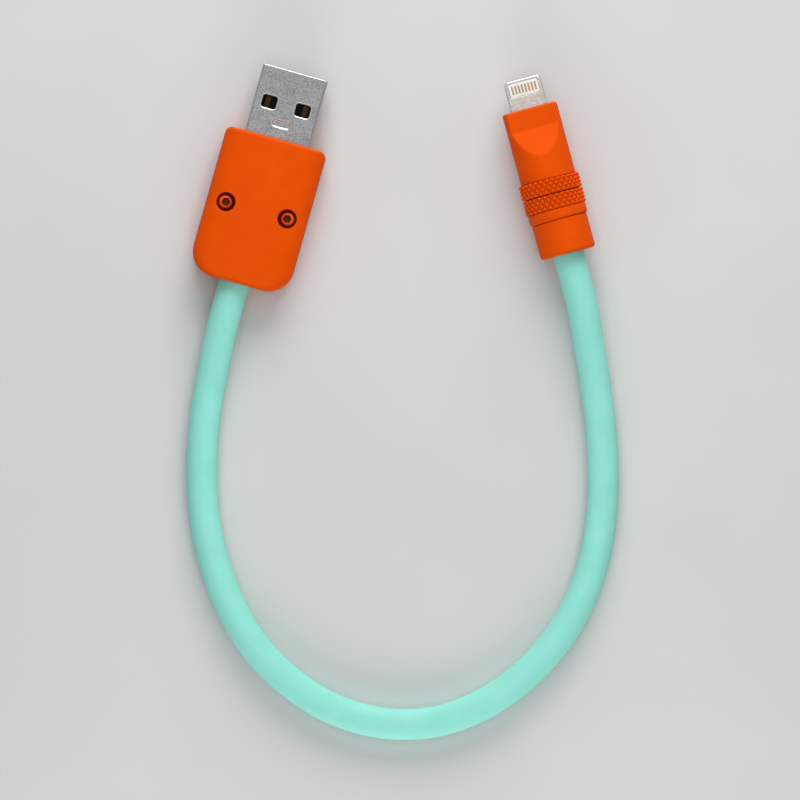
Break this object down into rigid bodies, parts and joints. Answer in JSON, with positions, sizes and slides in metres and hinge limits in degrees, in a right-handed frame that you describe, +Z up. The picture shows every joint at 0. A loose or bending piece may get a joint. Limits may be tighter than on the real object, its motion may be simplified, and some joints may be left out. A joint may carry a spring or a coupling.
{
  "type": "charging cable",
  "caption": "Short charging cable: a flat screwed plug with a metal shell at one end, a round knurled plug with a thin blade at the other, and a soft round cable looped between them.",
  "frame": {"origin": "centre of the box round the two plugs, seen from above, on the surface that the cable lies on", "axes": "+X from the flat plug to the phone plug, +Y the way the plugs point, +Z up from the surface"},
  "size_m": [0.0779, 0.1217, 0.0112],
  "materials": {
    "housing_orange": "matte, soft touch, bright orange",
    "screw_orange": "orange lacquer on steel, satin",
    "cable_mint": "matte mint-green elastomer",
    "shell_steel": "satin nickel plate with a fine grain",
    "blade_steel": "satin nickel plate",
    "insert_white": "moulded, satin",
    "contact_gold": "thin gold plate",
    "insulator_black": "moulded, matte",
    "insert_brass": "turned",
    "shield_braid": "tinned braid",
    "crimp_steel": "plain",
    "board_green": "solder mask",
    "chip_black": "moulded",
    "capacitor_tan": "fired ceramic",
    "wire_red": "insulation",
    "wire_white": "insulation",
    "wire_green": "insulation",
    "wire_black": "insulation"
  },
  "bodies": {
    "root": {"cable_jacket": "cable_mint", "cable_shield": "shield_braid", "phone_blade_frame": "blade_steel", "phone_blade_insert_bottom": "insert_white", "phone_blade_insert_top": "insert_white", "phone_capacitor_1": "capacitor_tan", "phone_capacitor_2": "capacitor_tan", "phone_circuit_board": "board_green", "phone_collar": "housing_orange", "phone_contact_bottom_1": "contact_gold", "phone_contact_bottom_2": "contact_gold", "phone_contact_bottom_3": "contact_gold", "phone_contact_bottom_4": "contact_gold", "phone_contact_bottom_5": "contact_gold", "phone_contact_bottom_6": "contact_gold", "phone_contact_bottom_7": "contact_gold", "phone_contact_bottom_8": "contact_gold", "phone_contact_top_1": "contact_gold", "phone_contact_top_2": "contact_gold", "phone_contact_top_3": "contact_gold", "phone_contact_top_4": "contact_gold", "phone_contact_top_5": "contact_gold", "phone_contact_top_6": "contact_gold", "phone_contact_top_7": "contact_gold", "phone_contact_top_8": "contact_gold", "phone_control_chip": "chip_black", "phone_crimp_ring": "crimp_steel", "phone_front_body": "housing_orange", "phone_knurled_ring": "housing_orange", "phone_rear_barrel": "housing_orange", "usb_contact_1": "contact_gold", "usb_contact_2": "contact_gold", "usb_contact_3": "contact_gold", "usb_contact_4": "contact_gold", "usb_contact_block": "insulator_black", "usb_crimp_ring": "crimp_steel", "usb_housing_bottom": "housing_orange", "usb_housing_top": "housing_orange", "usb_screw_insert_left": "insert_brass", "usb_screw_insert_right": "insert_brass", "usb_screw_left": "screw_orange", "usb_screw_right": "screw_orange", "usb_shell": "shell_steel", "wire_data_minus": "wire_white", "wire_data_plus": "wire_green", "wire_ground": "wire_black", "wire_power": "wire_red"}
  },
  "joints": []
}
